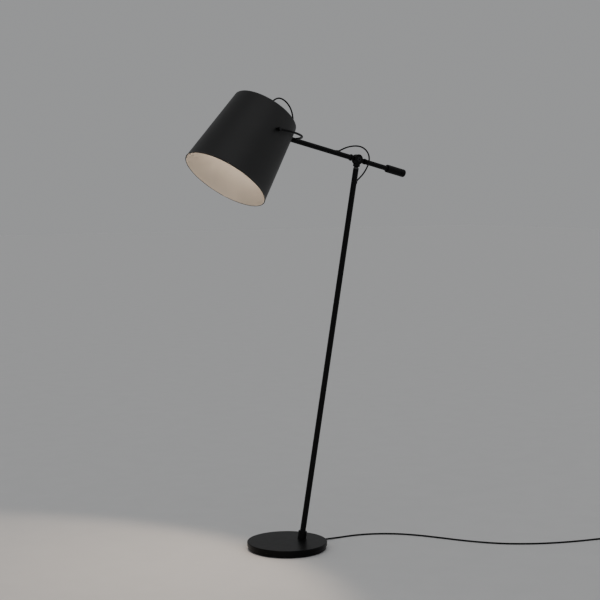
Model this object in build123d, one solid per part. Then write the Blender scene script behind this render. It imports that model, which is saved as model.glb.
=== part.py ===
from build123d import *
import math
import os

# Adjustable arm floor lamp. Millimetres, +Z up. The origin is on the floor, under the centre
# of the round base. The lamp stands in the plane Y = 0: the shade is toward -X, the
# counterweight and the mains cord are toward +X.

# ---------------------------------------------------------------- driving dimensions
BASE_R = 140.0
BASE_H = 27.0
RIM_H = 13.0  # height of the widest band of the base cover
SKIRT_R = 136.5
COVER_WALL = 3.0
COVER_TOP = 4.0
PAD_H = 3.0
PAD_R = 131.0
BALLAST_SCREW_RING = 95.0

POLE_LEAN = 10.55  # degrees from upright, toward +X
POLE_FOOT_X = 64.2
POLE_LENGTH = 1353.6  # base top to the tilt axis, along the pole
POLE_R = 10.0
TUBE_WALL = 1.5
SEAT_H = 4.0  # the tube's lower end, above the base top
COLLAR_R = 15.0
COLLAR_H = 26.0

HUB_R = 18.0
HUB_HALF_W = 10.0
NECK_R = 7.5
NECK_DROP = 30.0  # tilt axis down to the neck's shoulder
SPIGOT_R = 5.0
SPIGOT_END = 62.6  # below the tilt axis
KNUCKLE_HALF_W = 4.6
TONGUE_HALF_H = 7.4  # the knuckle between its two collars
TILT_BOLT_R = 4.0
RUNNING_GAP = 0.05  # radial clearance of each pivot

ARM_DROP = 12.46  # degrees, from the shade down to the counterweight
ARM_R = 9.0
ARM_REACH = 456.0  # tilt axis to the shade's pivot, along the arm
PIVOT_BELOW_ARM = 6.7
YOKE_ALONG_ARM = 291.0  # tilt axis to the yoke's crossing
YOKE_ABOVE_ARM = 3.4
YOKE_ROD_R = 3.8
YOKE_HALF_W = 140.0
YOKE_EYE_R = 6.2
PIVOT_R = 2.5
PIVOT_WASHER_R = 5.3
WEIGHT_R = 14.2
WEIGHT_START = 141.0
WEIGHT_END = 224.0
WEIGHT_CAP = 9.0

SHADE_DOWN = 53.9  # degrees, the opening's axis below the horizon
SHADE_R_OPEN = 150.4
SHADE_R_TOP = 117.65
SHADE_BELOW = 205.3  # pivot to the opening's plane
SHADE_ABOVE = 79.0  # pivot to the closed top
SHADE_WALL = 1.0
SHADE_TOP_FILLET = 7.0
SHADE_LIP_R = 1.7

NIPPLE_R = 5.0  # the threaded tubes at the pole's foot and in the shade's top
HOLDER_R = 20.0
HOLDER_WALL = 2.4
HOLDER_DROP = 6.5  # closed top of the shade down to the holder's cap
HOLDER_CAP_H = 24.0
HOLDER_SKIRT_H = 30.0
SCREW_SHELL_R = 14.6
BULB_CAP_R = 13.0
BULB_R = 30.0
BULB_WALL = 1.0
BULB_NECK = 52.0  # the cap's edge to the globe's centre

LEAD_R = 2.7  # cable in the tubes and in the two loops
BUSH_HALF_GAP = 4.0
BUSH_R = 4.0
POLE_EXIT_DROP = 77.0  # tilt axis down to the cable's hole in the pole
ARM_ENTRY = 90.0  # tilt axis to the cable's hole in the arm
ARM_EXIT = 300.5

CORD_R = 3.0
CORD_EXIT_Z = 6.5
BOOT_LENGTH = 28.0
BOOT_GROOVES = 6
GROOVE_W = 1.4
GROOVE_DEPTH = 0.7

# Floor cord, from the strain relief to the foot switch, then from the switch to the coil.
CORD_ROUTE = [
    (165, 0, 6.5),
    (196, 3, 4.2),
    (236, -1, 3),
    (285, -6, 3),
    (340, -23, 3),
    (396, -54, 3),
    (446, -100, 3),
    (487, -159, 3),
    (519, -222, 3),
    (552, -291, 3),
    (590, -355, 3),
    (634, -412, 3),
    (686, -457, 3),
    (747, -498, 3),
    (817, -532, 3),
    (888, -558.5, 3),
    (951, -576, 3),
    (986, -588, 3.4),
    (1016, -594.5, 5.5),
]
TAIL_ROUTE = [(1092, -612.05, 5.5), (1111, -616, 4.6), (1129, -620.6, 4)]
# The coil's turns lie in two columns, and the last turn leaves it toward the plug.
COIL_CENTRE = (1120.7, -656.6)
COIL_Z0 = 1.0  # the tie runs under the turns
COIL_COLUMNS = (31.0, 37.0)
PLUG_ROUTE = [
    (1120.7, -693.6, 16),
    (1099, -694, 14.4),
    (1077, -691.6, 10.4),
    (1057, -688.2, 8.5),
]
PLUG_HEADING = 170.4
SWITCH_HEADING = -13.0
SWITCH_LENGTH = 78.0
SWITCH_W = 34.0
SWITCH_SPLIT = 10.0
SWITCH_TOP = 21.0
SWITCH_WALL = 2.4
BUTTON_R = 12.0
BUTTON_TOP = 25.0

BOTTOM = (Align.CENTER, Align.CENTER, Align.MIN)


# ---------------------------------------------------------------- frames
def direction(angle):
    """A unit vector in the lamp's plane, at an angle above +X."""
    return Vector(math.cos(math.radians(angle)), 0, math.sin(math.radians(angle)))


def plane(origin, z_dir, x_dir):
    return Plane(origin=origin, x_dir=x_dir, z_dir=z_dir)


POLE_DIR = direction(90 - POLE_LEAN)
POLE_SIDE = direction(-POLE_LEAN)
FOOT = Vector(POLE_FOOT_X, 0, BASE_H)
HUB = FOOT + POLE_DIR * POLE_LENGTH
ARM_DIR = direction(-ARM_DROP)
ARM_UP = direction(90 - ARM_DROP)
SHADE_PIVOT = HUB - ARM_DIR * ARM_REACH - ARM_UP * PIVOT_BELOW_ARM
YOKE_CROSSING = HUB - ARM_DIR * YOKE_ALONG_ARM + ARM_UP * YOKE_ABOVE_ARM
YOKE_REACH = (YOKE_CROSSING - SHADE_PIVOT).length
YOKE_DIR = (YOKE_CROSSING - SHADE_PIVOT).normalized()
SHADE_UP = direction(SHADE_DOWN)
SHADE_SIDE = direction(SHADE_DOWN - 90)

IN_POLE = plane(FOOT, POLE_DIR, POLE_SIDE)  # Z up the pole, X to the rear
IN_HUB = plane(HUB, POLE_DIR, POLE_SIDE)
IN_ARM = plane(HUB, ARM_DIR, ARM_UP)  # Z to the counterweight, X up
IN_YOKE = Plane(origin=SHADE_PIVOT, x_dir=YOKE_DIR, z_dir=YOKE_DIR.cross(Vector(0, 1, 0)))
IN_SHADE = plane(SHADE_PIVOT, SHADE_UP, SHADE_SIDE)  # Z to the closed top

nodes = {}


# ---------------------------------------------------------------- helpers
def rod(z0, z1, r, r_in=0.0):
    """A cylinder or a tube along Z."""
    solid = Pos(0, 0, z0) * Cylinder(r, z1 - z0, align=BOTTOM)
    if r_in:
        solid -= Pos(0, 0, z0 - 1) * Cylinder(r_in, z1 - z0 + 2, align=BOTTOM)
    return solid


def cone(z0, z1, r0, r1):
    return Pos(0, 0, z0) * Cone(r0, r1, z1 - z0, align=BOTTOM)


def across(y0, y1, r, r_in=0.0):
    """A cylinder or a ring along Y."""
    return Rot(-90, 0, 0) * rod(y0, y1, r, r_in)


def hexagon(z0, z1, flats):
    shape = extrude(RegularPolygon(flats / 2, 6, major_radius=False), z1 - z0)
    return Pos(0, 0, z0) * shape


def spun(points, fillet_at=None, radius=0.0):
    """A closed (r, z) outline turned about Z, with one corner rounded if asked."""
    outline = make_face(Polyline([(r, 0, z) for r, z in points], close=True))
    if fillet_at:
        corner = outline.vertices().sort_by_distance(Vector(fillet_at[0], 0, fillet_at[1]))[0]
        outline = fillet(corner, radius)
    return revolve(outline, Axis.Z, 360)


def arc_radii(points):
    """Each corner's largest tangent arc: 0.45 of its shorter run over the tangent of half its turn."""
    radii = []
    for a, b, c in zip(points, points[1:], points[2:]):
        first = Vector(*b) - Vector(*a)
        second = Vector(*c) - Vector(*b)
        half_turn = math.radians(first.get_angle(second)) / 2
        radii.append(0.45 * min(first.length, second.length) / math.tan(half_turn))
    return radii


def cable(points, r, name=None):
    """A round cable along straight runs that are joined by tangent arcs."""
    radii = arc_radii(points)
    path = FilletPolyline(*points, radius=radii)
    start = Plane(origin=path @ 0, z_dir=path % 0)
    tube = sweep(start * Circle(r), path)
    if name:
        section = math.pi * r * r
        ratio = tube.volume / (section * path.length)
        smallest = " ".join(f"{x:.0f}" for x in radii)
        print(f"{name}: length {path.length:.1f} mm, volume ratio {ratio:.4f}, radii {smallest}")
    return tube


def oval(z0, z1, half_gap, r):
    """A rounded slot's shape along Z, long in X."""
    ends = Pos(-half_gap, 0, 0) * rod(z0, z1, r) + Pos(half_gap, 0, 0) * rod(z0, z1, r)
    return ends + Pos(0, 0, z0) * Box(2 * half_gap, 2 * r, z1 - z0, align=BOTTOM)


def cable_bush(where, tube_r, tube, passages):
    """A rubber bush in a slot of a tube; where has Z out of the tube and X along it."""
    bush = oval(tube_r - 2.4, tube_r + 1.4, BUSH_HALF_GAP, BUSH_R)
    flange = oval(tube_r - 1.5, tube_r + 1.4, BUSH_HALF_GAP, BUSH_R + 1.5)
    flange = chamfer(flange.edges().group_by(Axis.Z)[-1], 0.6)
    bush = where * bush + (where * flange - tube)
    for passage in passages:
        bush -= passage
    return bush


def keep(name, where, shape):
    nodes[name] = where.location * shape if where else shape


def group(solids):
    return Compound(children=list(solids))


# ---------------------------------------------------------------- base
def base():
    cover = rod(BASE_H - RIM_H, BASE_H, BASE_R)
    cover = fillet(cover.edges().sort_by(Axis.Z)[-1], 2.5)
    cover = fillet(cover.edges().sort_by(Axis.Z)[0], 1.0)
    cover += rod(PAD_H, BASE_H - RIM_H + 1, SKIRT_R)
    cover -= rod(PAD_H - 1, BASE_H - COVER_TOP, SKIRT_R - COVER_WALL)
    nipple_hole = IN_POLE.location * rod(-40, 20, NIPPLE_R + 0.4)
    boot_hole = Pos(SKIRT_R - 8, 0, CORD_EXIT_Z) * Rot(0, 90, 0) * rod(0, 12, 3.4)
    ring = PolarLocations(BALLAST_SCREW_RING, 3, start_angle=60)
    threads = [place * rod(0, BASE_H - 1.5, 2.5) for place in ring]
    cover -= nipple_hole + boot_hole
    for thread in threads:
        cover -= thread
    nodes["base_cover"] = cover

    ballast = rod(PAD_H + 0.2, BASE_H - COVER_TOP - 0.2, SKIRT_R - COVER_WALL - 0.4)
    ballast -= IN_POLE.location * rod(-40, 20, NIPPLE_R + 1)
    ballast -= IN_POLE.location * rod(-40, -12, 16.0)
    ballast -= Pos(POLE_FOOT_X, 0, 0) * Box(90, 11, 12, align=(Align.MIN, Align.CENTER, Align.MIN))
    for place in ring:
        ballast -= place * (rod(0, BASE_H, 3.0) + rod(0, PAD_H + 6, 5.5))
    nodes["base_ballast"] = ballast
    nodes["base_pad"] = rod(0, PAD_H, PAD_R)
    screw = rod(PAD_H + 6, BASE_H - 1.5, 2.5) + rod(PAD_H + 3, PAD_H + 6, 4.8)
    screw -= hexagon(PAD_H + 2.9, PAD_H + 4.6, 4)
    nodes["ballast_screws"] = group(place * screw for place in ring)


def pole_foot():
    above_base = Pos(0, 0, BASE_H) * Box(900, 300, 900, align=BOTTOM)
    collar = rod(-6, COLLAR_H, COLLAR_R)
    collar = fillet(collar.edges().sort_by(Axis.Z)[-1], 1.2)
    collar -= rod(SEAT_H, COLLAR_H + 1, POLE_R)
    collar -= rod(-7, SEAT_H, NIPPLE_R + 0.4)
    grub_axis = Pos(0, 0, COLLAR_H - 11) * Rot(0, 90, 0)
    collar -= grub_axis * rod(POLE_R - 2, COLLAR_R + 1, 2.5)
    keep("pole_collar", None, (IN_POLE.location * collar) & above_base)
    grub = grub_axis * (rod(POLE_R, COLLAR_R - 0.6, 2.5) - hexagon(COLLAR_R - 2.6, COLLAR_R, 2.5))
    keep("collar_screw", IN_POLE, grub)
    keep("foot_plug", IN_POLE, rod(SEAT_H, 32, POLE_R - TUBE_WALL, NIPPLE_R))
    keep("foot_nipple", IN_POLE, rod(-19, 30, NIPPLE_R, 3.3))
    nut = hexagon(-18.5, -13.5, 15) - rod(-20, -12, NIPPLE_R)
    keep("foot_fasteners", IN_POLE, group([rod(-13.5, -12, 13.0, 5.1), nut]))


def pole():
    top = POLE_LENGTH - NECK_DROP - 5
    hole_z = POLE_LENGTH - POLE_EXIT_DROP
    tube = rod(SEAT_H, top, POLE_R, POLE_R - TUBE_WALL)
    slot_at = IN_POLE.location * Pos(0, 0, hole_z - 1.5) * Rot(0, 90, 0)
    tube = IN_POLE.location * tube
    bore = slot_at * oval(4, 14, BUSH_HALF_GAP, BUSH_R)
    nodes["pole_tube"] = tube - bore
    passages = [cable(LOOP_END, LEAD_R + 0.1), IN_POLE.location * cable(LEAD_UP, LEAD_R + 0.1)]
    solid = IN_POLE.location * rod(hole_z - 30, hole_z + 30, POLE_R)
    nodes["pole_grommet"] = cable_bush(slot_at, POLE_R, solid, passages)

    bush = rod(-NECK_DROP - 32, -NECK_DROP - 5, POLE_R - TUBE_WALL)
    bush += rod(-NECK_DROP - 5, -NECK_DROP - 1, POLE_R)
    bush -= rod(-NECK_DROP - 40, 0, SPIGOT_R + RUNNING_GAP)
    keep("pole_top_bush", IN_HUB, bush)
    keep("swivel_washer", IN_HUB, rod(-NECK_DROP - 1, -NECK_DROP, 9.0, 5.2))


# ---------------------------------------------------------------- swivel head
def swivel():
    bottom = -NECK_DROP + 0.05
    fork = rod(bottom, -22, NECK_R) + rod(-SPIGOT_END, bottom, SPIGOT_R)
    block = Pos(0, 0, -27) * Box(2 * NECK_R, 2 * HUB_HALF_W, 12, align=BOTTOM)
    fork += chamfer(block.edges().group_by(Axis.Z)[0], 2.4)
    fork += across(-HUB_HALF_W, HUB_HALF_W, HUB_R)
    slot_half = KNUCKLE_HALF_W + 0.8
    fork -= across(-slot_half, slot_half, HUB_R + 0.6)
    fork -= across(-20, 20, TILT_BOLT_R)
    for side in (-1, 1):
        recess = sorted((side * (HUB_HALF_W - 2), side * (HUB_HALF_W + 1)))
        fork -= across(*recess, 8.0)
    fork -= rod(-SPIGOT_END - 1, -SPIGOT_END + 14, 2.5)
    keep("swivel_fork", IN_HUB, fork)

    washer = rod(-SPIGOT_END - 1.5, -SPIGOT_END, 7.5, 2.5)
    screw = rod(-SPIGOT_END - 1.5, -SPIGOT_END + 13, 2.5)
    screw += rod(-SPIGOT_END - 5, -SPIGOT_END - 1.5, 4.2)
    screw -= hexagon(-SPIGOT_END - 5.1, -SPIGOT_END - 3, 4)
    keep("swivel_fasteners", IN_HUB, group([washer, screw]))

    face = HUB_HALF_W - 2
    bolt = across(-face, face, TILT_BOLT_R) + across(-HUB_HALF_W - 0.6, -face, 8.0)
    socket = Rot(-90, 0, 0) * hexagon(-HUB_HALF_W - 1, -face + 0.6, 6)
    nut = across(face, HUB_HALF_W + 0.6, 8.0)
    for x in (-5, 5):
        nut -= Pos(x, 0, 0) * across(HUB_HALF_W - 1, HUB_HALF_W + 1, 1.0)
    keep("tilt_fasteners", IN_HUB, group([bolt - socket, nut]))
    inner = KNUCKLE_HALF_W + 0.05
    washers = [across(*sorted((side * inner, side * slot_half)), 13.0, 4.0) for side in (-1, 1)]
    keep("friction_washers", IN_HUB, group(washers))


# ---------------------------------------------------------------- arm
FRONT_COLLAR = (-33.0, -28.0)
REAR_COLLAR = (30.0, 38.0)
SPIGOT_IN_TUBE = 25.0


def arm():
    tube_in = ARM_R - TUBE_WALL
    tongue_end = -FRONT_COLLAR[1]
    core = across(-KNUCKLE_HALF_W, KNUCKLE_HALF_W, HUB_R - 1)
    core += Pos(0, 0, -tongue_end) * Box(
        2 * TONGUE_HALF_H, 2 * KNUCKLE_HALF_W, tongue_end + REAR_COLLAR[0], align=BOTTOM
    )
    core += rod(FRONT_COLLAR[0] - SPIGOT_IN_TUBE, FRONT_COLLAR[1], tube_in)
    core += rod(REAR_COLLAR[0], REAR_COLLAR[1] + SPIGOT_IN_TUBE, tube_in)
    core -= across(-20, 20, TILT_BOLT_R + RUNNING_GAP)
    keep("arm_knuckle", IN_ARM, core)

    front = rod(*FRONT_COLLAR, 11.8)
    front = chamfer(front.edges().filter_by(GeomType.CIRCLE), 0.8) - rod(-60, 0, tube_in)
    keep("arm_collar_front", IN_ARM, front)
    rear = rod(*REAR_COLLAR, 10.2)
    rear = chamfer(rear.edges().filter_by(GeomType.CIRCLE), 0.8) - rod(0, 60, tube_in)
    keep("arm_collar_rear", IN_ARM, rear)

    fitting_start = YOKE_ALONG_ARM - 8
    front_tube = rod(-fitting_start, FRONT_COLLAR[0], ARM_R, tube_in)
    slot_at = IN_ARM.location * Pos(0, 0, -ARM_ENTRY - 1.5) * Rot(0, 90, 0)
    nodes["arm_tube_front"] = IN_ARM.location * front_tube - slot_at * oval(4, 12, BUSH_HALF_GAP, BUSH_R)
    passages = [cable(LOOP_START, LEAD_R + 0.1), IN_ARM.location * cable(ARM_LEAD, LEAD_R + 0.1)]
    solid = IN_ARM.location * rod(-ARM_ENTRY - 30, -ARM_ENTRY + 30, ARM_R)
    nodes["arm_grommet"] = cable_bush(slot_at, ARM_R, solid, passages)
    keep("arm_tube_rear", IN_ARM, rod(REAR_COLLAR[1], WEIGHT_END - 4, ARM_R, tube_in))

    fitting = rod(-ARM_EXIT - 7.5, -fitting_start, ARM_R)
    fitting = chamfer(fitting.edges().group_by(Axis.Z)[0], 1.0)
    fitting += rod(-fitting_start, -fitting_start + 20, tube_in)
    passage = cable(ARM_LEAD, LEAD_R + 0.1)
    fitting -= passage
    fitting = IN_ARM.location * fitting
    keep("arm_end_fitting", None, fitting - yoke_rod())


def counterweight():
    shoulder = WEIGHT_END - WEIGHT_CAP
    weight = rod(WEIGHT_START, shoulder - 0.8, WEIGHT_R)
    weight = chamfer(weight.edges().group_by(Axis.Z)[0], 1.2)
    weight -= rod(WEIGHT_START + 62, WEIGHT_START + 63.4, WEIGHT_R + 1, WEIGHT_R - 0.9)
    weight += rod(shoulder - 0.8, shoulder, WEIGHT_R - 1.0)
    weight -= rod(WEIGHT_START - 1, WEIGHT_END, ARM_R)
    grub_axis = Pos(0, 0, WEIGHT_START + 18) * Rot(0, -90, 0)
    weight -= grub_axis * rod(ARM_R - 2, WEIGHT_R + 1, 2.5)
    keep("counterweight", IN_ARM, weight)
    grub = rod(ARM_R, WEIGHT_R - 0.8, 2.5) - hexagon(WEIGHT_R - 3, WEIGHT_R, 2.5)
    keep("counterweight_screw", IN_ARM, grub_axis * grub)

    cap = rod(shoulder, WEIGHT_END, WEIGHT_R)
    cap = fillet(cap.edges().group_by(Axis.Z)[-1], 2.4)
    cap -= rod(shoulder - 1, WEIGHT_END - 4, ARM_R)
    cap += rod(WEIGHT_END - 18, WEIGHT_END - 3.5, ARM_R - TUBE_WALL)
    keep("counterweight_cap", IN_ARM, cap)


# ---------------------------------------------------------------- yoke and shade pivots
def yoke_rod():
    half_ring = Pos(YOKE_REACH - YOKE_HALF_W, 0, 0) * Rot(0, 0, -90) * Torus(
        YOKE_HALF_W, YOKE_ROD_R, major_angle=180, align=None
    )
    legs = []
    for side in (-1, 1):
        leg = rod(PIVOT_WASHER_R + 0.3, YOKE_REACH - YOKE_HALF_W, YOKE_ROD_R)
        legs.append(Pos(0, side * YOKE_HALF_W, 0) * Rot(0, 90, 0) * leg)
    return IN_YOKE.location * (half_ring + legs)


def pivot_axis(side):
    """Z runs outward along the shade's pivot, from its centre."""
    return plane(SHADE_PIVOT, Vector(0, side, 0), SHADE_SIDE).location


def yoke():
    shape = yoke_rod()
    for side in (-1, 1):
        eye = rod(YOKE_HALF_W - 1.8, YOKE_HALF_W + 1.8, YOKE_EYE_R)
        shape += pivot_axis(side) * eye
    for side in (-1, 1):
        shape -= pivot_axis(side) * rod(YOKE_HALF_W - 8, YOKE_HALF_W + 8, PIVOT_R + RUNNING_GAP)
    nodes["yoke"] = shape


def shade_outer():
    corner = (SHADE_R_TOP, SHADE_ABOVE)
    outline = [(0, -SHADE_BELOW), (SHADE_R_OPEN, -SHADE_BELOW), corner, (0, SHADE_ABOVE)]
    return spun(outline, corner, SHADE_TOP_FILLET)


def shade_inner():
    slope = (SHADE_R_OPEN - SHADE_R_TOP) / (SHADE_BELOW + SHADE_ABOVE)
    top = SHADE_ABOVE - SHADE_WALL
    inset = SHADE_WALL * math.sqrt(1 + slope * slope)
    corner = (SHADE_R_TOP + slope * SHADE_WALL - inset, top)
    below = -SHADE_BELOW - 2
    wide = SHADE_R_OPEN + slope * 2 - inset
    outline = [(0, below), (wide, below), corner, (0, top)]
    return spun(outline, corner, SHADE_TOP_FILLET - SHADE_WALL)


def shade():
    outer = shade_outer()
    inner = shade_inner()
    lip = Pos(0, 0, -SHADE_BELOW + SHADE_LIP_R) * Torus(SHADE_R_OPEN - 1.0, SHADE_LIP_R)
    shell = outer - inner + lip - rod(SHADE_ABOVE - 10, SHADE_ABOVE + 5, 5.2)
    shell = IN_SHADE.location * shell
    for side in (-1, 1):
        shell -= pivot_axis(side) * rod(100, 150, PIVOT_R)
    nodes["shade_shell"] = shell

    solid_outer = IN_SHADE.location * outer
    solid_inner = IN_SHADE.location * inner
    spacers, washers, screws, nuts = [], [], [], []
    for side in (-1, 1):
        there = pivot_axis(side)
        spacer = there * rod(120, YOKE_HALF_W - 2.8, PIVOT_WASHER_R, PIVOT_R)
        spacers.append(spacer - solid_outer)
        washers.append(there * rod(YOKE_HALF_W - 2.8, YOKE_HALF_W - 1.9, PIVOT_WASHER_R, PIVOT_R))
        knob = rod(YOKE_HALF_W + 1.9, YOKE_HALF_W + 7.5, 4.6)
        knob = fillet(knob.edges().group_by(Axis.Z)[-1], 1.0)
        shank = rod(116, YOKE_HALF_W + 1.9, PIVOT_R)
        screws.append(there * (knob + shank))
        nuts.append((there * (hexagon(119, 130, 8) - rod(110, 140, PIVOT_R))) & solid_inner)
    nodes["pivot_spacers"] = group(spacers)
    nodes["pivot_washers"] = group(washers)
    nodes["pivot_screws"] = group(screws)
    nodes["pivot_nuts"] = group(nuts)


# ---------------------------------------------------------------- lampholder and bulb
def lampholder():
    top = SHADE_ABOVE
    keep("holder_nipple", IN_SHADE, rod(top - 19, top + 9, NIPPLE_R, 3.0))
    keep("holder_nut", IN_SHADE, hexagon(top - 5.5, top - SHADE_WALL, 14) - rod(0, top, NIPPLE_R))
    gland = cone(top, top + 4, 10.0, 9.4) + cone(top + 4, top + 15, 8.2, 6.4)
    gland = fillet(gland.edges().sort_by(Axis.Z)[-1], 1.0)
    gland -= rod(top - 1, top + 9, NIPPLE_R)
    gland -= rod(top + 8, top + 16, LEAD_R)
    keep("cord_grip", IN_SHADE, gland)

    cap_top = top - HOLDER_DROP
    cap_end = cap_top - HOLDER_CAP_H
    cap = rod(cap_end, cap_top, HOLDER_R)
    cap = fillet(cap.edges().sort_by(Axis.Z)[-1], 5.0)
    cap -= rod(cap_end - 1, cap_top - 3, HOLDER_R - HOLDER_WALL)
    cap -= rod(cap_top - 5, cap_top + 1, NIPPLE_R)
    keep("holder_cap", IN_SHADE, cap)
    skirt_r = HOLDER_R - 1
    skirt = rod(cap_end - HOLDER_SKIRT_H, cap_end - 0.2, skirt_r, skirt_r - 2.2)
    keep("holder_skirt", IN_SHADE, skirt)
    keep("holder_ring", IN_SHADE, rod(cap_end - 12, cap_end - 6, skirt_r + 4, skirt_r + 0.1))
    insert = rod(cap_top - 20, cap_top - 14, HOLDER_R - HOLDER_WALL - 0.2)
    insert -= Pos(9, 0, 0) * rod(cap_top - 21, cap_top, 1.6)
    keep("holder_insert", IN_SHADE, insert)
    thread = rod(cap_top - 46.4, cap_top - 20.2, SCREW_SHELL_R, SCREW_SHELL_R - 1)
    spring = Pos(0, 0, cap_top - 20.9) * Box(9, 5, 0.8, align=BOTTOM)
    keep("holder_contacts", IN_SHADE, group([thread, spring]))
    return cap_top


def bulb(cap_top):
    screw_top = cap_top - 21.5
    tip = rod(screw_top - 2.2, screw_top, 4.5)
    shell = rod(screw_top - 25, screw_top - 2.4, BULB_CAP_R)
    shell = chamfer(shell.edges().sort_by(Axis.Z)[-1], 3.0)
    keep("bulb_cap", IN_SHADE, group([tip, shell]))
    neck = screw_top - 25.2
    glass = bulb_outline(neck, 0) - bulb_outline(neck, BULB_WALL)
    keep("bulb_glass", IN_SHADE, glass)


def bulb_outline(neck, inset):
    """The bulb's glass, solid, from its neck down to its round end."""
    globe = BULB_R - inset
    centre = neck - BULB_NECK
    side = (globe * math.cos(math.radians(38)), 0, centre + globe * math.sin(math.radians(38)))
    low = (globe * 0.8, 0, centre - globe * 0.6)
    end = (0, 0, centre - globe)
    top = neck + inset
    neck_r = BULB_CAP_R + 0.6 - inset
    line = Polyline((0, 0, top), (neck_r, 0, top), (neck_r + 1, 0, neck - 12), side)
    outline = line.edges() + ThreePointArc(side, low, end).edges() + Line(end, (0, 0, top)).edges()
    return revolve(make_face(outline), Axis.Z, 360)


# ---------------------------------------------------------------- cables
def at(frame, x, z):
    """A point of the lamp's plane, given in one of the frames above."""
    return frame.from_local_coords(Vector(x, 0, z))


LEAD_TOP = (5.6, 0, POLE_LENGTH - POLE_EXIT_DROP - 7.2)
LEAD_UP = [(0, 0, -22), (0, 0, POLE_LENGTH - POLE_EXIT_DROP - 16.5), (5.45, 0, LEAD_TOP[2] - 0.25)]
BASE_LEAD = [(SKIRT_R - 6.5, 0, CORD_EXIT_Z), (110, 0, 8), (90, 0.5, 8.6), (74, 0, 8)]
POLE_HOLE = at(IN_POLE, POLE_R, POLE_LENGTH - POLE_EXIT_DROP)
ARM_HOLE = at(IN_ARM, ARM_R, -ARM_ENTRY)
# The loop round the hub: out of the arm, over the hub, down in front of the arm and into the pole.
LOOP_START = [
    tuple(at(IN_ARM, ARM_R - 3.8, -ARM_ENTRY - 6)),
    tuple(ARM_HOLE),
    (238.4, -0.8, 1390.6),
    (254, -2.6, 1397.4),
    (275, -5.5, 1403),
    (299, -8.6, 1405.4),
]
LOOP_SPLIT = (321, -11.5, 1402.6)
LOOP_REST = [
    (339, -13.6, 1393),
    (351.2, -14.6, 1378.6),
    (355, -15, 1362.4),
    (351.6, -14.6, 1344.6),
    (342, -12.4, 1325),
    (329.2, -8.2, 1305.8),
]
LOOP_END = [
    LOOP_REST[-1],
    (318, -3.8, 1292.6),
    tuple(POLE_HOLE),
    tuple(at(IN_POLE, LEAD_TOP[0], LEAD_TOP[2])),
]
ARM_LEAD = [
    (ARM_R - 4, 0, -ARM_ENTRY - 6.4),
    (-1, 0, -ARM_ENTRY - 16),
    (-1.6, 0, -ARM_ENTRY - 50),
    (-2.4, 0.2, -200),
    (-3.4, 0, -270),
    (-3.5, 0, -ARM_EXIT),
    (ARM_R - 0.1, 0, -ARM_EXIT),
]
HEAD_LOOP = [
    tuple(at(IN_SHADE, 0, SHADE_ABOVE + 15)),
    (-66, 0, 1542.5),
    (-51, 0, 1556),
    (-33, 0, 1561.5),
    (-14, 0, 1556.5),
    (3, 0, 1544.5),
    (16, 0, 1528),
    (24, 0, 1508.5),
    (26.4, 0, 1486),
    (24.8, 0, 1458),
    tuple(at(IN_ARM, ARM_R + 0.2, -ARM_EXIT)),
]


def midpoint(a, b):
    return tuple((p + q) / 2 for p, q in zip(a, b))


def cables():
    far = midpoint(LOOP_SPLIT, LOOP_REST[0])
    nodes["hub_cable_upper"] = cable(LOOP_START + [LOOP_SPLIT, far], LEAD_R, "hub_cable_upper")
    lower = [far] + LOOP_REST + LOOP_END[1:]
    nodes["hub_cable_lower"] = cable(lower, LEAD_R, "hub_cable_lower")
    nodes["head_cable"] = cable(HEAD_LOOP, LEAD_R, "head_cable")
    keep("arm_lead", IN_ARM, cable(ARM_LEAD, LEAD_R, "arm_lead"))
    up_pole = cable(LEAD_UP, LEAD_R, "pole lead")
    in_base = cable(BASE_LEAD, LEAD_R, "base lead")
    nodes["inner_lead"] = group([IN_POLE.location * up_pole, in_base])


def grooves(start, end, r0, r1, count):
    """Rings to cut from a cone, evenly spaced along it, so that it can bend."""
    rings = []
    for k in range(count):
        z = start + (end - start) * (k + 1) / (count + 1)
        r = r0 + (r1 - r0) * (k + 1) / (count + 1)
        rings.append(rod(z - GROOVE_W / 2, z + GROOVE_W / 2, r + 2, r - GROOVE_DEPTH))
    return rings


def strain_relief():
    boot = cone(0.2, BOOT_LENGTH, 5.6, 3.9)
    for ring in grooves(0.2, BOOT_LENGTH, 5.6, 3.9, BOOT_GROOVES):
        boot -= ring
    boot += rod(-5, 1.5, 3.4)
    where = Pos(SKIRT_R, 0, CORD_EXIT_Z) * Rot(0, 90, 0)
    nodes["strain_relief"] = where * boot


def floor_cord():
    nodes["cord_run"] = cable(CORD_ROUTE, CORD_R, "cord_run")
    nodes["cord_tail"] = cable(TAIL_ROUTE, CORD_R, "cord_tail")
    nodes["plug_tail"] = cable(PLUG_ROUTE, CORD_R, "plug_tail")

    inner, outer = COIL_COLUMNS[0] - CORD_R, COIL_COLUMNS[1] + CORD_R
    middle = (inner + outer) / 2
    bow = 0.8  # how far the ring curves away within the tie's width
    layer = 2 * CORD_R
    coil = rod(COIL_Z0, COIL_Z0 + 2 * layer, outer, inner)
    coil += rod(COIL_Z0 + 2 * layer, COIL_Z0 + 3 * layer, outer, middle)
    nodes["cord_coil"] = Pos(*COIL_CENTRE, 0) * coil
    height = 3 * layer
    tie = Box(2 * layer + bow + 2, 13, height + 2) - Box(2 * layer + bow, 20, height)
    tie = Pos(middle - bow / 2, 0, COIL_Z0 + height / 2) * tie
    nodes["cord_tie"] = Pos(*COIL_CENTRE, 0) * Rot(0, 0, -25) * tie


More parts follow.
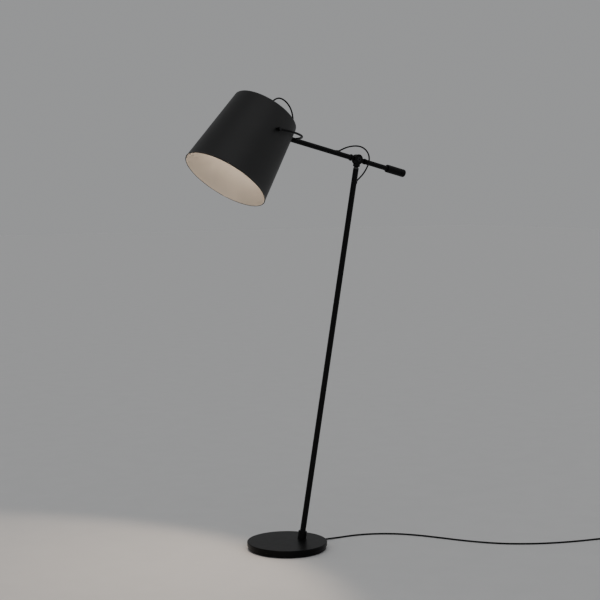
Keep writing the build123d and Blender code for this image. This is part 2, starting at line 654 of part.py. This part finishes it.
# ---------------------------------------------------------------- foot switch and plug
def foot_switch():
    middle = (Vector(*CORD_ROUTE[-1]) + Vector(*TAIL_ROUTE[0])) / 2
    where = Pos(middle.X, middle.Y, 0) * Rot(0, 0, SWITCH_HEADING)
    base_box = Box(SWITCH_LENGTH, SWITCH_W, SWITCH_SPLIT, align=BOTTOM)
    base_box = fillet(base_box.edges().filter_by(Axis.Z), 8.0)
    hollow = Pos(0, 0, SWITCH_WALL) * Box(
        SWITCH_LENGTH - 16, SWITCH_W - 2 * SWITCH_WALL, SWITCH_SPLIT, align=BOTTOM
    )
    cord_bore = Pos(0, 0, CORD_ROUTE[-1][2]) * Rot(0, 90, 0) * rod(-60, 60, CORD_R)
    where_screws = [Pos(x, 0, 0) for x in (-SWITCH_LENGTH / 2 + 11, SWITCH_LENGTH / 2 - 11)]
    base_box -= hollow
    posts = [place * rod(0, SWITCH_SPLIT, 4.0) for place in where_screws]
    base_box = base_box + posts - cord_bore
    cover_height = SWITCH_TOP - SWITCH_SPLIT
    cover = Pos(0, 0, SWITCH_SPLIT) * Box(SWITCH_LENGTH, SWITCH_W, cover_height, align=BOTTOM)
    cover = fillet(cover.edges().filter_by(Axis.Z), 8.0)
    cover = fillet(cover.edges().group_by(Axis.Z)[-1], 4.0)
    cover -= Pos(0, 0, SWITCH_SPLIT) * Box(
        SWITCH_LENGTH - 30, SWITCH_W - 2 * SWITCH_WALL, cover_height - SWITCH_WALL, align=BOTTOM
    )
    cover -= rod(SWITCH_SPLIT, SWITCH_TOP + 1, BUTTON_R + 0.3)
    keep_screws = []
    for place in where_screws:
        base_box -= place * rod(-1, SWITCH_SPLIT + 1, 1.5) + place * rod(-1, 2, 3.0)
        cover -= place * rod(SWITCH_SPLIT - 1, SWITCH_TOP - 5, 1.5)
        keep_screws.append(place * (rod(0.3, 2, 3.0) + rod(2, SWITCH_TOP - 5, 1.5)))
    button = rod(SWITCH_SPLIT + 4, BUTTON_TOP, BUTTON_R)
    button = fillet(button.edges().sort_by(Axis.Z)[-1], 2.0)
    button += rod(SWITCH_SPLIT + 4, SWITCH_TOP - SWITCH_WALL - 0.4, BUTTON_R + 1.6)
    nodes["switch_base"] = where * base_box
    nodes["switch_cover"] = where * cover
    nodes["switch_screws"] = group(where * screw for screw in keep_screws)
    nodes["foot_button"] = where * button


def mains_plug():
    back = Vector(*PLUG_ROUTE[-1])
    where = Pos(back.X, back.Y, back.Z) * Rot(0, 0, PLUG_HEADING)
    relief = cone(0.6, 20, 4.2, 6.2)
    for ring in grooves(0.6, 20, 4.2, 6.2, BOOT_GROOVES - 2):
        relief -= ring
    relief = Rot(0, 90, 0) * relief
    body = Pos(20 + 16, 0, 0) * Box(32, 26, 2 * back.Z)
    body = fillet(body.edges().filter_by(Axis.X), 6.0)
    body = fillet(body.edges().group_by(Axis.X)[0], 3.0)
    pins = []
    for y in (-9.5, 9.5):
        pin = Pos(46, y, 0) * Rot(0, 90, 0) * rod(0, 25, 2.4)
        pin = fillet(pin.edges().sort_by(Axis.X)[-1], 1.2)
        pins.append(pin)
        body -= Pos(46, y, 0) * Rot(0, 90, 0) * rod(0, 25, 2.4)
    nodes["plug_body"] = where * (body + relief)
    nodes["plug_pins"] = group(where * pin for pin in pins)


# ---------------------------------------------------------------- build
base()
pole_foot()
pole()
swivel()
arm()
counterweight()
yoke()
shade()
bulb(lampholder())
cables()
strain_relief()
floor_cord()
foot_switch()
mains_plug()

os.makedirs("parts", exist_ok=True)
for name, shape in nodes.items():
    export_step(shape, f"parts/{name}.step")
print(len(nodes), "nodes")
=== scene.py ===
"""The looks of an adjustable arm floor lamp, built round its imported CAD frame. Metres, +Z up."""

import math

import bmesh
import bpy
from mathutils import Matrix, Vector


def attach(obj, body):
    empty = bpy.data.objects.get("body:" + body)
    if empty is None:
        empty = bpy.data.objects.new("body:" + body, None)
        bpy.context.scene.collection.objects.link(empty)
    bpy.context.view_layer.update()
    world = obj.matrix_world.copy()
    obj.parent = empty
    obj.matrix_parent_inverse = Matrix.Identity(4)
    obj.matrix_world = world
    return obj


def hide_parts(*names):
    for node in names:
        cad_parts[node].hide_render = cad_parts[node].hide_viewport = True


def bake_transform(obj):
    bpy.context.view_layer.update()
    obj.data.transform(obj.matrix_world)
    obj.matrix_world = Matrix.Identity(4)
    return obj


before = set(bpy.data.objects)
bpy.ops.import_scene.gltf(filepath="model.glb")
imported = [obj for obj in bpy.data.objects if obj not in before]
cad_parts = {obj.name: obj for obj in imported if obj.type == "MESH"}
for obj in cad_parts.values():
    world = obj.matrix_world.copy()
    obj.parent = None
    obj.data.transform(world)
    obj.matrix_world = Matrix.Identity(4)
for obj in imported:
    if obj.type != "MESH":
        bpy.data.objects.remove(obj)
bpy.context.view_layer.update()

# ---------------------------------------------------------------- places and sizes
# They repeat the CAD model's driving dimensions, in metres and degrees.
SHADE_PIVOT = Vector((-0.13467, 0, 1.44956))
SHADE_DOWN = 53.9  # degrees above +X, along the shade's axis from its mouth to its closed end
SHADE_R_OPEN = 0.1504
SHADE_R_TOP = 0.11765
SHADE_BELOW = 0.2053  # from the pivot to the mouth
SHADE_ABOVE = 0.079  # from the pivot to the closed end
SHADE_WALL = 0.001
SHADE_TOP_FILLET = 0.007
SHADE_LIP_R = 0.0017
LEAD_D = 0.0054
CORD_D = 0.006


def frame_matrix(origin, z_dir, x_dir):
    """A matrix whose Z and X point along the given directions."""
    z = z_dir.normalized()
    x = x_dir.normalized()
    y = z.cross(x)
    turned = Matrix((x, y, z)).transposed().to_4x4()
    return Matrix.Translation(origin) @ turned


def direction(angle):
    """A unit vector in the lamp's plane, at an angle in degrees above +X."""
    return Vector((math.cos(math.radians(angle)), 0, math.sin(math.radians(angle))))


IN_SHADE = frame_matrix(SHADE_PIVOT, direction(SHADE_DOWN), direction(SHADE_DOWN - 90))


# ---------------------------------------------------------------- camera
CAMERA_AT = (-2.83075, -3.80498, 1.26006)
CAMERA_DOWN = 4.68  # degrees below level
CAMERA_TURN = -37.19  # degrees from looking along +Y
LENS_MM = 82.82
SENSOR_MM = 36


def camera():
    data = bpy.data.cameras.new("camera")
    data.lens = LENS_MM
    data.sensor_width = SENSOR_MM
    data.clip_end = 100
    cam = bpy.data.objects.new("camera", data)
    cam.location = CAMERA_AT
    cam.rotation_euler = (math.radians(90 - CAMERA_DOWN), 0, math.radians(CAMERA_TURN))
    bpy.context.scene.collection.objects.link(cam)
    bpy.context.scene.camera = cam


camera()


# ---------------------------------------------------------------- material helpers
# A noise texture's values mostly lie between these two.
NOISE_LOW = 0.3
NOISE_HIGH = 0.7


def new_material(name):
    material = bpy.data.materials.new(name)
    material.use_nodes = True
    return material, material.node_tree, material.node_tree.nodes["Principled BSDF"]


def noise(tree, scale, detail=3.0, rough=0.5, stretch=(1, 1, 1)):
    """A noise texture in object space, in metres; its Fac output comes back."""
    coords = tree.nodes.new("ShaderNodeTexCoord")
    mapping = tree.nodes.new("ShaderNodeMapping")
    mapping.inputs["Scale"].default_value = stretch
    texture = tree.nodes.new("ShaderNodeTexNoise")
    texture.inputs["Scale"].default_value = scale
    texture.inputs["Detail"].default_value = detail
    texture.inputs["Roughness"].default_value = rough
    tree.links.new(coords.outputs["Object"], mapping.inputs["Vector"])
    tree.links.new(mapping.outputs["Vector"], texture.inputs["Vector"])
    return texture.outputs["Fac"]


def remap(tree, value, low, high):
    """Spreads a noise texture's values from low to high."""
    node = tree.nodes.new("ShaderNodeMapRange")
    node.inputs["From Min"].default_value = NOISE_LOW
    node.inputs["From Max"].default_value = NOISE_HIGH
    node.inputs["To Min"].default_value = low
    node.inputs["To Max"].default_value = high
    tree.links.new(value, node.inputs["Value"])
    return node.outputs["Result"]


def mix_colours(tree, value, first, second):
    """Mixes two colours by a noise texture's values."""
    ramp = tree.nodes.new("ShaderNodeValToRGB")
    ramp.color_ramp.elements[0].position = NOISE_LOW
    ramp.color_ramp.elements[0].color = (*first, 1)
    ramp.color_ramp.elements[1].position = NOISE_HIGH
    ramp.color_ramp.elements[1].color = (*second, 1)
    tree.links.new(value, ramp.inputs["Fac"])
    return ramp.outputs["Color"]


def bump(tree, shader, height, strength, distance):
    node = tree.nodes.new("ShaderNodeBump")
    node.inputs["Strength"].default_value = strength
    node.inputs["Distance"].default_value = distance
    tree.links.new(height, node.inputs["Height"])
    tree.links.new(node.outputs["Normal"], shader.inputs["Normal"])


def coated(name, dark, light, roughness, grain=0.0011, strength=0.25, gloss=0.5):
    """Powder coat or satin paint: a fine orange-peel grain and slow changes of tone and gloss."""
    material, tree, shader = new_material(name)
    shader.inputs["Specular IOR Level"].default_value = gloss
    slow = noise(tree, 9.0, detail=4.0)
    tree.links.new(mix_colours(tree, slow, dark, light), shader.inputs["Base Color"])
    handled = noise(tree, 38.0, detail=5.0, rough=0.6)
    tree.links.new(remap(tree, handled, *roughness), shader.inputs["Roughness"])
    peel = noise(tree, 1 / grain, detail=2.0)
    bump(tree, shader, peel, strength, grain * 0.1)
    return material


def moulded(name, dark, light, roughness, grain=0.0006, strength=0.3, gloss=0.5):
    """Moulded plastic or rubber with a spark-eroded grain."""
    material, tree, shader = new_material(name)
    shader.inputs["Specular IOR Level"].default_value = gloss
    slow = noise(tree, 22.0, detail=3.0)
    tree.links.new(mix_colours(tree, slow, dark, light), shader.inputs["Base Color"])
    fine = noise(tree, 1 / grain, detail=3.0, rough=0.65)
    tree.links.new(remap(tree, fine, *roughness), shader.inputs["Roughness"])
    bump(tree, shader, fine, strength, grain * 0.2)
    return material


DRAWN_LINES = (1, 1, 14)  # squeezes a noise texture into lines


def metal(name, dark, light, roughness):
    """Plated or turned metal with fine drawn lines."""
    material, tree, shader = new_material(name)
    shader.inputs["Metallic"].default_value = 1.0
    lines = noise(tree, 420.0, detail=4.0, rough=0.6, stretch=DRAWN_LINES)
    tree.links.new(mix_colours(tree, lines, dark, light), shader.inputs["Base Color"])
    tree.links.new(remap(tree, lines, *roughness), shader.inputs["Roughness"])
    bump(tree, shader, lines, 0.12, 0.0001)
    return material


# ---------------------------------------------------------------- materials
def frosted_glass():
    """An opal bulb that is lit."""
    material, tree, shader = new_material("opal_glass")
    cloud = noise(tree, 60.0, detail=2.0)
    tree.links.new(
        mix_colours(tree, cloud, (0.93, 0.88, 0.78), (0.98, 0.94, 0.86)), shader.inputs["Base Color"]
    )
    shader.inputs["Roughness"].default_value = 0.35
    shader.inputs["Emission Color"].default_value = (1.0, 0.86, 0.71, 1)
    shader.inputs["Emission Strength"].default_value = 30.0
    return material


MATERIALS = {
    "pole_paint": coated(
        "black_powder_coat", (0.0025, 0.0025, 0.0027), (0.004, 0.004, 0.0043), (0.42, 0.48), gloss=0.12
    ),
    "base_paint": coated(
        "black_base_paint", (0.003, 0.003, 0.0032), (0.0045, 0.0045, 0.0048), (0.34, 0.38), gloss=0.08,
        strength=0.12,
    ),
    "shade_outside": coated(
        "black_shade_paint", (0.008, 0.008, 0.0083), (0.011, 0.011, 0.0113), (0.46, 0.50), gloss=0.4
    ),
    "shade_inside": coated(
        "warm_white_paint", (0.40, 0.37, 0.335), (0.43, 0.40, 0.365), (0.62, 0.66), strength=0.08
    ),
    "ballast_iron": coated(
        "raw_casting", (0.05, 0.05, 0.05), (0.10, 0.09, 0.085), (0.6, 0.8), grain=0.002
    ),
    "rubber": moulded("black_rubber", (0.010, 0.010, 0.010), (0.018, 0.018, 0.018), (0.62, 0.8)),
    "black_steel": metal("blackened_steel", (0.020, 0.020, 0.022), (0.045, 0.045, 0.048), (0.30, 0.46)),
    "zinc_steel": metal("zinc_plate", (0.42, 0.42, 0.43), (0.60, 0.60, 0.61), (0.26, 0.42)),
    "bush_plastic": moulded("bush_plastic", (0.02, 0.02, 0.02), (0.03, 0.03, 0.03), (0.4, 0.55)),
    "cable_sheath": moulded(
        "cable_sheath", (0.003, 0.003, 0.0033), (0.006, 0.006, 0.0063), (0.5, 0.62), gloss=0.15
    ),
    "switch_plastic": moulded("switch_plastic", (0.012, 0.012, 0.012), (0.018, 0.018, 0.018), (0.38, 0.52)),
    "holder_plastic": moulded("holder_plastic", (0.014, 0.014, 0.014), (0.02, 0.02, 0.02), (0.22, 0.34)),
    "holder_ceramic": moulded("glazed_ceramic", (0.80, 0.78, 0.72), (0.86, 0.84, 0.79), (0.12, 0.22)),
    "contact_brass": metal("contact_brass", (0.70, 0.50, 0.20), (0.82, 0.63, 0.30), (0.2, 0.34)),
    "nickel": metal("nickel_plate", (0.60, 0.58, 0.54), (0.72, 0.70, 0.66), (0.16, 0.28)),
    "bulb_cap": metal("bulb_cap_metal", (0.66, 0.66, 0.66), (0.78, 0.78, 0.78), (0.24, 0.36)),
    "bulb_glass": frosted_glass(),
}

NODE_MATERIALS = {
    "base_paint": ["base_cover"],
    "pole_paint": [
        "pole_collar", "pole_tube", "swivel_fork", "arm_knuckle", "arm_collar_front", "arm_collar_rear",
        "arm_tube_front", "arm_tube_rear", "arm_end_fitting", "yoke", "counterweight", "counterweight_cap",
    ],
    "ballast_iron": ["base_ballast"],
    "rubber": ["base_pad", "pole_grommet", "arm_grommet", "strain_relief"],
    "black_steel": [
        "collar_screw", "tilt_fasteners", "counterweight_screw", "pivot_screws", "pivot_washers",
        "pivot_spacers",
    ],
    "zinc_steel": [
        "ballast_screws", "foot_nipple", "foot_fasteners", "foot_plug", "swivel_fasteners", "pivot_nuts",
        "holder_nipple", "holder_nut", "switch_screws",
    ],
    "bush_plastic": ["pole_top_bush", "swivel_washer", "friction_washers", "cord_tie"],
    "cable_sheath": ["arm_lead", "inner_lead"],
    "switch_plastic": ["switch_base", "switch_cover", "foot_button", "plug_body"],
    "holder_plastic": ["holder_cap", "holder_skirt", "holder_ring", "cord_grip"],
    "holder_ceramic": ["holder_insert"],
    "contact_brass": ["holder_contacts"],
    "nickel": ["plug_pins"],
    "bulb_cap": ["bulb_cap"],
    "bulb_glass": ["bulb_glass"],
}


def paint_cad_nodes():
    """Gives each CAD node that stays visible its material."""
    for key, names in NODE_MATERIALS.items():
        for name in names:
            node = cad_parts[name]
            node.data.materials.clear()
            node.data.materials.append(MATERIALS[key])


paint_cad_nodes()


# ---------------------------------------------------------------- cords
CORD_STEPS = 10  # steps along a curve for each of its points
LOOP_STEPS = 16  # the same for a loop that bends
BEVEL_STEPS = 6


def nurbs_curve(name, points, diameter):
    """A smooth curve with these points as its control points."""
    data = bpy.data.curves.new(name, "CURVE")
    data.dimensions = "3D"
    data.resolution_u = CORD_STEPS
    data.bevel_depth = diameter / 2
    data.bevel_resolution = BEVEL_STEPS
    data.use_fill_caps = True
    spline = data.splines.new("NURBS")
    spline.points.add(len(points) - 1)
    for control, point in zip(spline.points, points):
        control.co = (*point, 1)
    spline.order_u = 3
    spline.use_endpoint_u = True
    curve = bpy.data.objects.new(name, data)
    bpy.context.scene.collection.objects.link(curve)
    return curve


def centreline(points):
    """Points along the smooth line of a route."""
    line = nurbs_curve("line", points, 0.0)
    mesh = bpy.data.meshes.new_from_object(line)
    found = [vertex.co.copy() for vertex in mesh.vertices]
    bpy.data.objects.remove(line)
    return found


def tube_mesh(name, points, diameter, material):
    """A cable as a mesh, built from a smooth curve."""
    curve = nurbs_curve(name + "_line", points, diameter)
    curve.data.resolution_u = LOOP_STEPS
    mesh = bpy.data.meshes.new_from_object(curve)
    bpy.data.objects.remove(curve)
    tube = bpy.data.objects.new(name, mesh)
    bpy.context.scene.collection.objects.link(tube)
    mesh.materials.append(material)
    for polygon in mesh.polygons:
        polygon.use_smooth = True
    return tube


CORD_ROUTE = [
    (0.165, 0, 0.0065),
    (0.196, 0.003, 0.0042),
    (0.236, -0.001, 0.003),
    (0.285, -0.006, 0.003),
    (0.340, -0.023, 0.003),
    (0.396, -0.054, 0.003),
    (0.446, -0.100, 0.003),
    (0.487, -0.159, 0.003),
    (0.519, -0.222, 0.003),
    (0.552, -0.291, 0.003),
    (0.590, -0.355, 0.003),
    (0.634, -0.412, 0.003),
    (0.686, -0.457, 0.003),
    (0.747, -0.498, 0.003),
    (0.817, -0.532, 0.003),
    (0.888, -0.5585, 0.003),
    (0.951, -0.576, 0.003),
    (0.986, -0.588, 0.0034),
    (1.016, -0.5945, 0.0055),
]
TAIL_ROUTE = [(1.092, -0.61205, 0.0055), (1.111, -0.616, 0.0046), (1.129, -0.6206, 0.004)]
PLUG_ROUTE = [
    (1.1207, -0.6936, 0.016),
    (1.099, -0.694, 0.0144),
    (1.077, -0.6916, 0.0104),
    (1.057, -0.6882, 0.0085),
]
COIL_CENTRE = (1.1207, -0.6566)
COIL_INNER = 0.031
COIL_OUTER = 0.037
COIL_START = 77.0  # degrees, where the tail meets the coil
COIL_TRAVEL = 1607.0  # degrees wound, clockwise from above
COIL_STEP = 20.0
# Each turn's column and height, and how far the cord has wound when it shifts to the next.
COIL_LEVELS = [
    (COIL_OUTER, 0.004),
    (COIL_INNER, 0.004),
    (COIL_INNER, 0.010),
    (COIL_OUTER, 0.010),
    (COIL_OUTER, 0.016),
]
COIL_FIRST_SHIFT = 285.0
COIL_SHIFT_EVERY = 340.0
COIL_SHIFT_LENGTH = 70.0


def coil_points():
    """Neat turns in two columns, each shift eased so that no turn lies in another."""
    points = []
    steps = int(COIL_TRAVEL / COIL_STEP)
    for step in range(1, steps + 1):
        travel = step * COIL_STEP
        radius, height = COIL_LEVELS[0]
        for k, (before, after) in enumerate(zip(COIL_LEVELS, COIL_LEVELS[1:])):
            start = COIL_FIRST_SHIFT + k * COIL_SHIFT_EVERY
            share = min(1.0, max(0.0, (travel - start) / COIL_SHIFT_LENGTH))
            eased = (1 - math.cos(math.pi * share)) / 2
            radius += (after[0] - before[0]) * eased
            height += (after[1] - before[1]) * eased
        angle = math.radians(COIL_START - travel)
        x = COIL_CENTRE[0] + radius * math.cos(angle)
        y = COIL_CENTRE[1] + radius * math.sin(angle)
        points.append((x, y, height))
    return points


def floor_cord():
    """The mains cord, with its foot switch, its put-away coil and its plug."""
    route = CORD_ROUTE + TAIL_ROUTE + coil_points() + PLUG_ROUTE
    cord = nurbs_curve("floor_cord", route, CORD_D)
    cord.data.materials.append(MATERIALS["cable_sheath"])
    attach(cord, "stand")
    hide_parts("cord_run", "cord_tail", "cord_coil", "plug_tail")


# The loop round the hub, in two pieces: from the arm's hole and from the pole's hole to where they meet.
HUB_LOOP_UPPER = [
    (0.21942, 0, 1.38351),
    (0.22610, 0, 1.38592),
    (0.2384, -0.0008, 1.3906),
    (0.254, -0.0026, 1.3974),
    (0.275, -0.0055, 1.403),
    (0.299, -0.0086, 1.4054),
    (0.321, -0.0115, 1.4026),
    (0.330, -0.01255, 1.3978),
]
HUB_LOOP_LOWER = [
    (0.30212, 0, 1.27392),
    (0.30777, 0, 1.28019),
    (0.318, -0.0062, 1.2926),
    (0.3292, -0.0118, 1.3058),
    (0.342, -0.0152, 1.325),
    (0.3516, -0.0158, 1.3446),
    (0.355, -0.0156, 1.3624),
    (0.3512, -0.0146, 1.3786),
    (0.339, -0.0136, 1.393),
    (0.330, -0.01255, 1.3978),
]
# The loop from the end of the arm up and over to the middle of the shade's closed end.
HEAD_LOOP = [
    (0.02060, 0, 1.43154),
    (0.0248, 0, 1.458),
    (0.0264, 0, 1.486),
    (0.024, 0, 1.5085),
    (0.016, 0, 1.528),
    (0.003, 0, 1.5445),
    (-0.014, 0, 1.5565),
    (-0.033, 0, 1.5615),
    (-0.051, 0, 1.556),
    (-0.066, 0, 1.5425),
    (-0.07929, 0, 1.52551),
]


def held_cable(name, route, node):
    """A cable between two holes, as a mesh that takes the place of its CAD node.
    """
    tube = tube_mesh(name, route, LEAD_D, MATERIALS["cable_sheath"])
    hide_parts(node)
    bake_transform(tube)
    centreline(route)


floor_cord()
held_cable("hub_loop_upper", HUB_LOOP_UPPER, "hub_cable_upper")
held_cable(
    "hub_loop_lower", HUB_LOOP_LOWER, "hub_cable_lower"
)
held_cable("head_loop", HEAD_LOOP, "head_cable")


# ---------------------------------------------------------------- lathe
def arc(centre, radius, start, end, steps):
    """Points (r, z) on an arc, from one angle to another in degrees."""
    points = []
    for step in range(steps + 1):
        angle = math.radians(start + (end - start) * step / steps)
        points.append((centre[0] + radius * math.cos(angle), centre[1] + radius * math.sin(angle)))
    return points


def lathe(name, outline, segments, place):
    """Turns a closed (r, z) outline about Z; each row is (r, z, material index)."""
    mesh = bpy.data.meshes.new(name)
    shape = bmesh.new()
    rings = []
    for r, z, _ in outline:
        ring = []
        for k in range(segments):
            angle = 2 * math.pi * k / segments
            ring.append(shape.verts.new((r * math.cos(angle), r * math.sin(angle), z)))
        rings.append(ring)
    for i, first in enumerate(rings):
        second = rings[(i + 1) % len(rings)]
        for k in range(segments):
            after = (k + 1) % segments
            face = shape.faces.new((first[k], first[after], second[after], second[k]))
            face.material_index = outline[i][2]
            face.smooth = True
    bmesh.ops.recalc_face_normals(shape, faces=shape.faces)
    shape.to_mesh(mesh)
    shape.free()
    mesh.transform(place)
    piece = bpy.data.objects.new(name, mesh)
    bpy.context.scene.collection.objects.link(piece)
    return piece


# ---------------------------------------------------------------- shade
SHADE_SEGMENTS = 192
OUTSIDE = 0
INSIDE = 1
CABLE_HOLE_R = 0.0052
TOP_RINGS = (0.03, 0.07)  # radii of two rings of vertices in the flat top
WALL_SHARES = (0.2, 0.4, 0.6, 0.8, 0.97)  # rings of vertices down the wall
LIP_INSET = 0.001  # the rolled lip's centre, in from the mouth's radius
LIP_FROM = 55  # degrees from straight outwards, where the lip leaves the outside of the wall
LIP_TO = -215  # the same, where it meets the inside
LIP_STEPS = 16
FILLET_STEPS = 10
LIP_BLACK_SHARE = 0.72  # how far round the rolled lip the black paint goes


def shade_outline():
    """The shade's wall as a closed outline: the outside down, round the rolled lip, the inside up."""
    slope = (SHADE_R_OPEN - SHADE_R_TOP) / (SHADE_BELOW + SHADE_ABOVE)
    tilt = math.degrees(math.atan(slope))
    turn = 90 - tilt
    reach = SHADE_TOP_FILLET * math.tan(math.radians(turn / 2))
    centre = (SHADE_R_TOP - reach, SHADE_ABOVE - SHADE_TOP_FILLET)
    outside = [(r, SHADE_ABOVE) for r in (CABLE_HOLE_R, *TOP_RINGS)]
    outside += arc(centre, SHADE_TOP_FILLET, 90, tilt, FILLET_STEPS)
    lip_z = -SHADE_BELOW + SHADE_LIP_R
    lip_centre = (SHADE_R_OPEN - LIP_INSET, lip_z)
    for share in WALL_SHARES:
        z = SHADE_ABOVE - share * (SHADE_ABOVE - lip_z)
        outside.append((SHADE_R_TOP + slope * (SHADE_ABOVE - z), z))
    lip = arc(lip_centre, SHADE_LIP_R, LIP_FROM, LIP_TO, LIP_STEPS)
    inside = []
    for share in reversed(WALL_SHARES):
        z = SHADE_ABOVE - share * (SHADE_ABOVE - lip_z)
        inside.append((SHADE_R_TOP + slope * (SHADE_ABOVE - z) - SHADE_WALL, z))
    inside += arc(centre, SHADE_TOP_FILLET - SHADE_WALL, tilt, 90, FILLET_STEPS)
    top = SHADE_ABOVE - SHADE_WALL
    inside += [(r, top) for r in (*reversed(TOP_RINGS), CABLE_HOLE_R)]
    rows = [(r, z, OUTSIDE) for r, z in outside]
    edge = round(LIP_BLACK_SHARE * len(lip))
    rows += [(r, z, OUTSIDE) for r, z in lip[:edge]]
    rows += [(r, z, INSIDE) for r, z in lip[edge:] + inside]
    return rows


def shade():
    """The spun shade, painted black outside and warm white inside."""
    skin = lathe("shade_skin", shade_outline(), SHADE_SEGMENTS, IN_SHADE)
    skin.data.materials.append(MATERIALS["shade_outside"])
    skin.data.materials.append(MATERIALS["shade_inside"])
    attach(skin, "shade")
    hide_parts("shade_shell")


shade()


# ---------------------------------------------------------------- floor and light
FLOOR_HALF = 30.0


def floor():
    """A plain pale floor, large enough to reach the horizon."""
    mesh = bpy.data.meshes.new("floor")
    corners = [(x * FLOOR_HALF, y * FLOOR_HALF, 0) for x, y in ((-1, -1), (1, -1), (1, 1), (-1, 1))]
    mesh.from_pydata(corners, [], [(0, 1, 2, 3)])
    plane = bpy.data.objects.new("floor", mesh)
    bpy.context.scene.collection.objects.link(plane)
    paint = coated("floor_paint", (0.71, 0.71, 0.71), (0.73, 0.73, 0.73), (0.7, 0.8), grain=0.01)
    mesh.materials.append(paint)


def soft_sun(name, towards, strength, angle):
    """A distant soft light, so that the floor is equally bright out to the horizon."""
    data = bpy.data.lights.new(name, "SUN")
    data.energy = strength
    data.angle = math.radians(angle)
    light = bpy.data.objects.new(name, data)
    light.rotation_mode = "QUATERNION"
    light.rotation_quaternion = Vector(towards).to_track_quat("-Z", "Y")
    bpy.context.scene.collection.objects.link(light)


GLOW_Z = -0.18  # just inside the mouth, so that it doesn't light the shade itself
GLOW_WATTS = 30.0
GLOW_COLOUR = (1.0, 0.80, 0.62)
GLOW_CONE = 96  # degrees


def lamp_glow():
    """The warm light that leaves the shade's mouth; it turns with the shade."""
    data = bpy.data.lights.new("lamp_glow", "SPOT")
    data.energy = GLOW_WATTS
    data.color = GLOW_COLOUR
    data.spot_size = math.radians(GLOW_CONE)
    data.spot_blend = 0.35
    data.shadow_soft_size = 0.02
    light = bpy.data.objects.new("lamp_glow", data)
    light.visible_camera = False
    light.location = IN_SHADE @ Vector((0, 0, GLOW_Z))
    light.rotation_mode = "QUATERNION"
    light.rotation_quaternion = (-direction(SHADE_DOWN)).to_track_quat("-Z", "Y")
    bpy.context.scene.collection.objects.link(light)
    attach(light, "shade")


SKY_COLOUR = (0.80, 0.81, 0.82, 1)
SKY_STRENGTH = 0.41


def studio():
    """A soft light from above the camera, a weaker one from its right, and an even sky."""
    soft_sun("key", towards=(0.55, 0.75, -0.9), strength=0.44, angle=70)
    soft_sun("fill", towards=(-0.8, 0.35, -0.55), strength=0.18, angle=90)
    world = bpy.data.worlds.new("studio")
    bpy.context.scene.world = world
    world.use_nodes = True
    background = world.node_tree.nodes["Background"]
    background.inputs["Color"].default_value = SKY_COLOUR
    background.inputs["Strength"].default_value = SKY_STRENGTH


floor()
studio()
lamp_glow()
